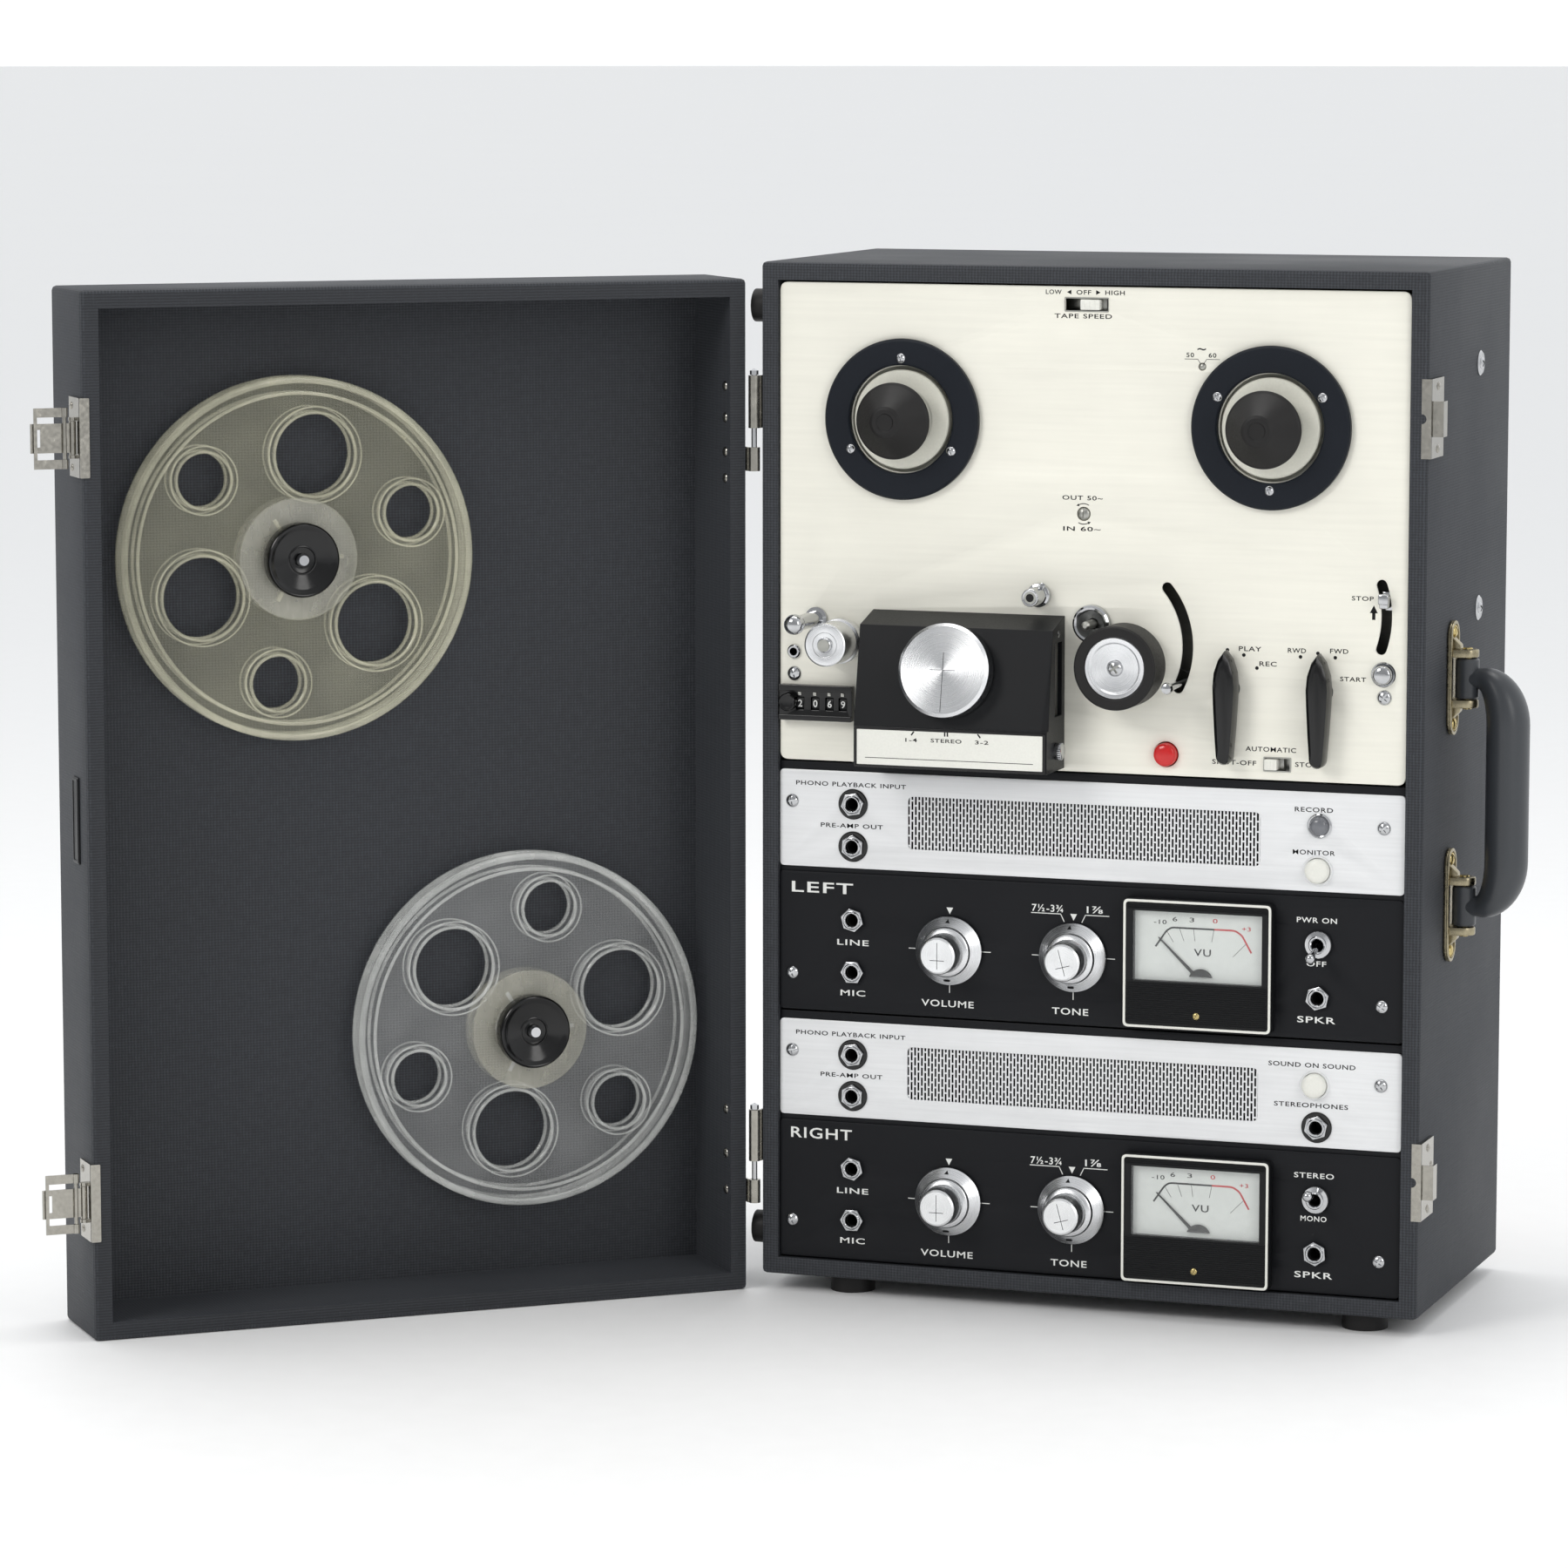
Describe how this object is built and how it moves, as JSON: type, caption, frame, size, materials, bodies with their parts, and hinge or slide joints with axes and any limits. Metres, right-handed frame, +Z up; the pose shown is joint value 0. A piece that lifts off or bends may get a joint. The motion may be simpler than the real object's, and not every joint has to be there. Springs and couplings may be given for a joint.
{
  "type": "reel to reel tape deck",
  "caption": "Portable upright reel-to-reel tape deck in a hinged vinyl case, with tape transport, two amplifier panels, meters, side handle and two reels stored in the open lid.",
  "frame": {"origin": "middle of the whole object's box, on the surface it stands on", "axes": "+Z up, +X to the right along the cabinet's front, +Y from the front panels into the cabinet"},
  "size_m": [0.6745, 0.4069, 0.5155],
  "materials": {
    "vinyl_case": "plywood covered in woven dark vinyl",
    "hardboard": "brown hardboard",
    "cream_panel": "cream anodised, finely brushed",
    "amp_face": "satin black face under a bright silver strip",
    "plated_steel": "zinc plated",
    "motor_can": "satin paint",
    "spun_aluminium": "spun",
    "black_plastic": "moulded",
    "reel_table": "moulded disc under a black rubber cone",
    "black_rubber": "smooth",
    "red_plastic": "moulded",
    "white_plastic": "moulded",
    "chrome": "polished",
    "latch_steel": "nickel plated, worn",
    "aged_nickel": "nickel plated, aged",
    "clear_styrene": "clear moulded"
  },
  "bodies": {
    "cabinet": {"amp_panel_lower": "amp_face", "amp_panel_upper": "amp_face", "amplifier_chassis": "plated_steel", "back_panel": "hardboard", "cabinet_shell": "vinyl_case", "counter_case": "black_plastic", "deck_panel": "cream_panel", "drive_motor": "motor_can", "handle_bracket_lower": "aged_nickel", "handle_bracket_upper": "aged_nickel", "head_block": "spun_aluminium", "head_cover": "black_plastic", "hinge_leaf_lower": "latch_steel", "hinge_leaf_upper": "latch_steel", "strike_lower": "latch_steel", "strike_upper": "latch_steel", "transport_chassis": "plated_steel", "vu_meter_left": "black_plastic", "vu_meter_right": "black_plastic"},
    "hinge_pins": {"hinge_pin_upper": "chrome", "hinge_pin_lower": "chrome"},
    "lid": {"lid_shell": "vinyl_case", "hinge_knuckle_upper": "latch_steel", "hinge_knuckle_lower": "latch_steel"},
    "latch_lever_upper": {"latch_lever_upper": "latch_steel"},
    "latch_loop_upper": {"latch_loop_upper": "latch_steel"},
    "latch_lever_lower": {"latch_lever_lower": "latch_steel"},
    "latch_loop_lower": {"latch_loop_lower": "latch_steel"},
    "storage_reel_upper": {"storage_reel_upper": "clear_styrene"},
    "reel_cap_upper": {"reel_cap_upper": "black_rubber"},
    "storage_reel_lower": {"storage_reel_lower": "clear_styrene"},
    "reel_cap_lower": {"reel_cap_lower": "black_rubber"},
    "reel_table_left": {"reel_table_left": "reel_table"},
    "reel_table_right": {"reel_table_right": "reel_table"},
    "capstan_flywheel": {"capstan_flywheel": "plated_steel"},
    "motor_pulley": {"motor_pulley": "spun_aluminium"},
    "guide_roller": {"guide_roller": "spun_aluminium"},
    "selector_knob": {"selector_knob": "spun_aluminium"},
    "play_lever": {"play_lever": "black_plastic"},
    "transport_lever": {"transport_lever": "black_plastic"},
    "pinch_arm": {"pinch_arm": "plated_steel"},
    "pinch_roller": {"pinch_roller": "black_rubber"},
    "tension_arm": {"tension_arm": "chrome"},
    "record_button": {"record_button": "red_plastic"},
    "start_button": {"start_button": "chrome"},
    "monitor_button": {"monitor_button": "white_plastic"},
    "sound_button": {"sound_button": "white_plastic"},
    "counter_reset": {"counter_reset": "black_plastic"},
    "speed_switch": {"speed_switch": "white_plastic"},
    "shutoff_switch": {"shutoff_switch": "white_plastic"},
    "stop_tab": {"stop_tab": "chrome"},
    "volume_knob_left": {"volume_knob_left": "spun_aluminium"},
    "volume_knob_right": {"volume_knob_right": "spun_aluminium"},
    "tone_knob_left": {"tone_knob_left": "spun_aluminium"},
    "tone_knob_right": {"tone_knob_right": "spun_aluminium"},
    "vu_needle_left": {"vu_needle_left": "black_plastic"},
    "vu_needle_right": {"vu_needle_right": "black_plastic"},
    "power_toggle": {"power_toggle": "chrome"},
    "mode_toggle": {"mode_toggle": "chrome"},
    "handle": {"handle": "black_plastic"}
  },
  "joints": [
    {"name": "lid_swing", "type": "hinge", "parent": "cabinet", "child": "hinge_pins", "pos_m": [-0.0437, 0.0293, 0.2585], "axis": [0, 0, -1], "range_deg": [-139.3, 6]},
    {"name": "lid_lift", "type": "slide", "parent": "hinge_pins", "child": "lid", "axis": [0, 0, 1], "range_m": [0, 0.0083]},
    {"name": "latch_lever_upper_turn", "type": "hinge", "parent": "lid", "child": "latch_lever_upper", "pos_m": [-0.30826, -0.19034, 0.437], "axis": [0, 0, -1], "range_deg": [0, 74]},
    {"name": "latch_loop_upper_turn", "type": "hinge", "parent": "latch_lever_upper", "child": "latch_loop_upper", "pos_m": [-0.31041, -0.19443, 0.437], "axis": [0, 0, 1], "range_deg": [0, 90]},
    {"name": "latch_lever_lower_turn", "type": "hinge", "parent": "lid", "child": "latch_lever_lower", "pos_m": [-0.30826, -0.19034, 0.068], "axis": [0, 0, -1], "range_deg": [0, 74]},
    {"name": "latch_loop_lower_turn", "type": "hinge", "parent": "latch_lever_lower", "child": "latch_loop_lower", "pos_m": [-0.31041, -0.19443, 0.068], "axis": [0, 0, 1], "range_deg": [0, 90]},
    {"name": "storage_reel_upper_spin", "type": "hinge", "parent": "lid", "child": "storage_reel_upper", "pos_m": [-0.24391, -0.08236, 0.373], "axis": [0.6521, -0.7581, 0], "continuous": true},
    {"name": "reel_cap_upper_pull", "type": "slide", "parent": "lid", "child": "reel_cap_upper", "axis": [0.6521, -0.7581, 0], "range_m": [0, 0.012]},
    {"name": "storage_reel_lower_spin", "type": "hinge", "parent": "lid", "child": "storage_reel_lower", "pos_m": [-0.15483, -0.00574, 0.1335], "axis": [0.6521, -0.7581, 0], "continuous": true},
    {"name": "reel_cap_lower_pull", "type": "slide", "parent": "lid", "child": "reel_cap_lower", "axis": [0.6521, -0.7581, 0], "range_m": [0, 0.012]},
    {"name": "reel_table_left_spin", "type": "hinge", "parent": "cabinet", "child": "reel_table_left", "pos_m": [0.0332, 0.0313, 0.4395], "axis": [0, 1, 0], "continuous": true},
    {"name": "reel_table_right_spin", "type": "hinge", "parent": "cabinet", "child": "reel_table_right", "pos_m": [0.2197, 0.0313, 0.4395], "axis": [0, 1, 0], "continuous": true},
    {"name": "capstan_spin", "type": "hinge", "parent": "cabinet", "child": "capstan_flywheel", "pos_m": [0.1304, 0.0313, 0.342], "axis": [0, 1, 0], "continuous": true},
    {"name": "motor_spin", "type": "hinge", "parent": "cabinet", "child": "motor_pulley", "pos_m": [0.2049, 0.0593, 0.342], "axis": [0, 1, 0], "continuous": true},
    {"name": "guide_roller_spin", "type": "hinge", "parent": "cabinet", "child": "guide_roller", "pos_m": [0.0022, 0.0313, 0.3297], "axis": [0, 1, 0], "continuous": true},
    {"name": "selector_turn", "type": "hinge", "parent": "cabinet", "child": "selector_knob", "pos_m": [0.0653, 0.00684, 0.3185], "axis": [0, -0.981, 0.1942], "range_deg": [-30, 30]},
    {"name": "play_lever_turn", "type": "hinge", "parent": "cabinet", "child": "play_lever", "pos_m": [0.1997, 0.0313, 0.3131], "axis": [0, 1, 0], "range_deg": [0, 52.6]},
    {"name": "transport_lever_turn", "type": "hinge", "parent": "cabinet", "child": "transport_lever", "pos_m": [0.246, 0.0313, 0.3131], "axis": [0, 1, 0], "range_deg": [-27.5, 27.5]},
    {"name": "pinch_arm_turn", "type": "hinge", "parent": "cabinet", "child": "pinch_arm", "pos_m": [0.1214, 0.0313, 0.291], "axis": [0, -1, 0], "range_deg": [0, 4.2]},
    {"name": "pinch_roller_spin", "type": "hinge", "parent": "pinch_arm", "child": "pinch_roller", "pos_m": [0.1489, 0.0313, 0.3233], "axis": [0, 1, 0], "continuous": true},
    {"name": "tension_arm_turn", "type": "hinge", "parent": "cabinet", "child": "tension_arm", "pos_m": [0.134, 0.0313, 0.3321], "axis": [0, -1, 0], "range_deg": [0, 58], "stiffness_Nm_per_rad": 0.01, "springref_deg": -17.19},
    {"name": "record_button_press", "type": "slide", "parent": "cabinet", "child": "record_button", "axis": [0, 1, 0], "range_m": [0, 0.003], "stiffness_N_per_m": 300, "springref_m": -0.002},
    {"name": "start_button_press", "type": "slide", "parent": "cabinet", "child": "start_button", "axis": [0, 1, 0], "range_m": [0, 0.0035], "stiffness_N_per_m": 300, "springref_m": -0.002},
    {"name": "monitor_button_press", "type": "slide", "parent": "cabinet", "child": "monitor_button", "axis": [0, 1, 0], "range_m": [0, 0.003], "stiffness_N_per_m": 300, "springref_m": -0.002},
    {"name": "sound_button_press", "type": "slide", "parent": "cabinet", "child": "sound_button", "axis": [0, 1, 0], "range_m": [0, 0.003], "stiffness_N_per_m": 300, "springref_m": -0.002},
    {"name": "counter_reset_press", "type": "slide", "parent": "cabinet", "child": "counter_reset", "axis": [0, 1, 0], "range_m": [0, 0.0022], "stiffness_N_per_m": 300, "springref_m": -0.002},
    {"name": "speed_switch_slide", "type": "slide", "parent": "cabinet", "child": "speed_switch", "axis": [1, 0, 0], "range_m": [-0.0076, 0.0034]},
    {"name": "shutoff_switch_slide", "type": "slide", "parent": "cabinet", "child": "shutoff_switch", "axis": [1, 0, 0], "range_m": [0, 0.0058]},
    {"name": "stop_tab_turn", "type": "hinge", "parent": "cabinet", "child": "stop_tab", "pos_m": [0.2284, 0.0313, 0.35], "axis": [0, 1, 0], "range_deg": [0, 20], "stiffness_Nm_per_rad": 0.05, "springref_deg": -17.19},
    {"name": "volume_knob_left_turn", "type": "hinge", "parent": "cabinet", "child": "volume_knob_left", "pos_m": [0.0581, 0.0313, 0.1775], "axis": [0, 1, 0], "range_deg": [-150, 150]},
    {"name": "volume_knob_right_turn", "type": "hinge", "parent": "cabinet", "child": "volume_knob_right", "pos_m": [0.0581, 0.0313, 0.0515], "axis": [0, 1, 0], "range_deg": [-150, 150]},
    {"name": "tone_knob_left_turn", "type": "hinge", "parent": "cabinet", "child": "tone_knob_left", "pos_m": [0.1219, 0.0313, 0.1775], "axis": [0, 1, 0], "range_deg": [-150, 150]},
    {"name": "tone_knob_right_turn", "type": "hinge", "parent": "cabinet", "child": "tone_knob_right", "pos_m": [0.1219, 0.0313, 0.0515], "axis": [0, 1, 0], "range_deg": [-150, 150]},
    {"name": "vu_needle_left_swing", "type": "hinge", "parent": "cabinet", "child": "vu_needle_left", "pos_m": [0.1841, 0.0313, 0.173], "axis": [0, 1, 0], "range_deg": [0, 85]},
    {"name": "vu_needle_right_swing", "type": "hinge", "parent": "cabinet", "child": "vu_needle_right", "pos_m": [0.1841, 0.0313, 0.0465], "axis": [0, 1, 0], "range_deg": [0, 85]},
    {"name": "power_toggle_flip", "type": "hinge", "parent": "cabinet", "child": "power_toggle", "pos_m": [0.2456, 0.0313, 0.1901], "axis": [-1, 0, 0], "range_deg": [0, 32]},
    {"name": "mode_toggle_flip", "type": "hinge", "parent": "cabinet", "child": "mode_toggle", "pos_m": [0.2456, 0.0313, 0.0646], "axis": [1, 0, 0], "range_deg": [0, 32]},
    {"name": "handle_turn", "type": "hinge", "parent": "cabinet", "child": "handle", "pos_m": [0.3054, 0.0813, 0.26095], "axis": [0, 0, 1], "range_deg": [-76, 76]}
  ],
  "couplings": [
    {"joint": "motor_spin", "follows": "capstan_spin", "ratio": 5.3333},
    {"joint": "pinch_arm_turn", "follows": "play_lever_turn", "ratio": 0.0798}
  ]
}
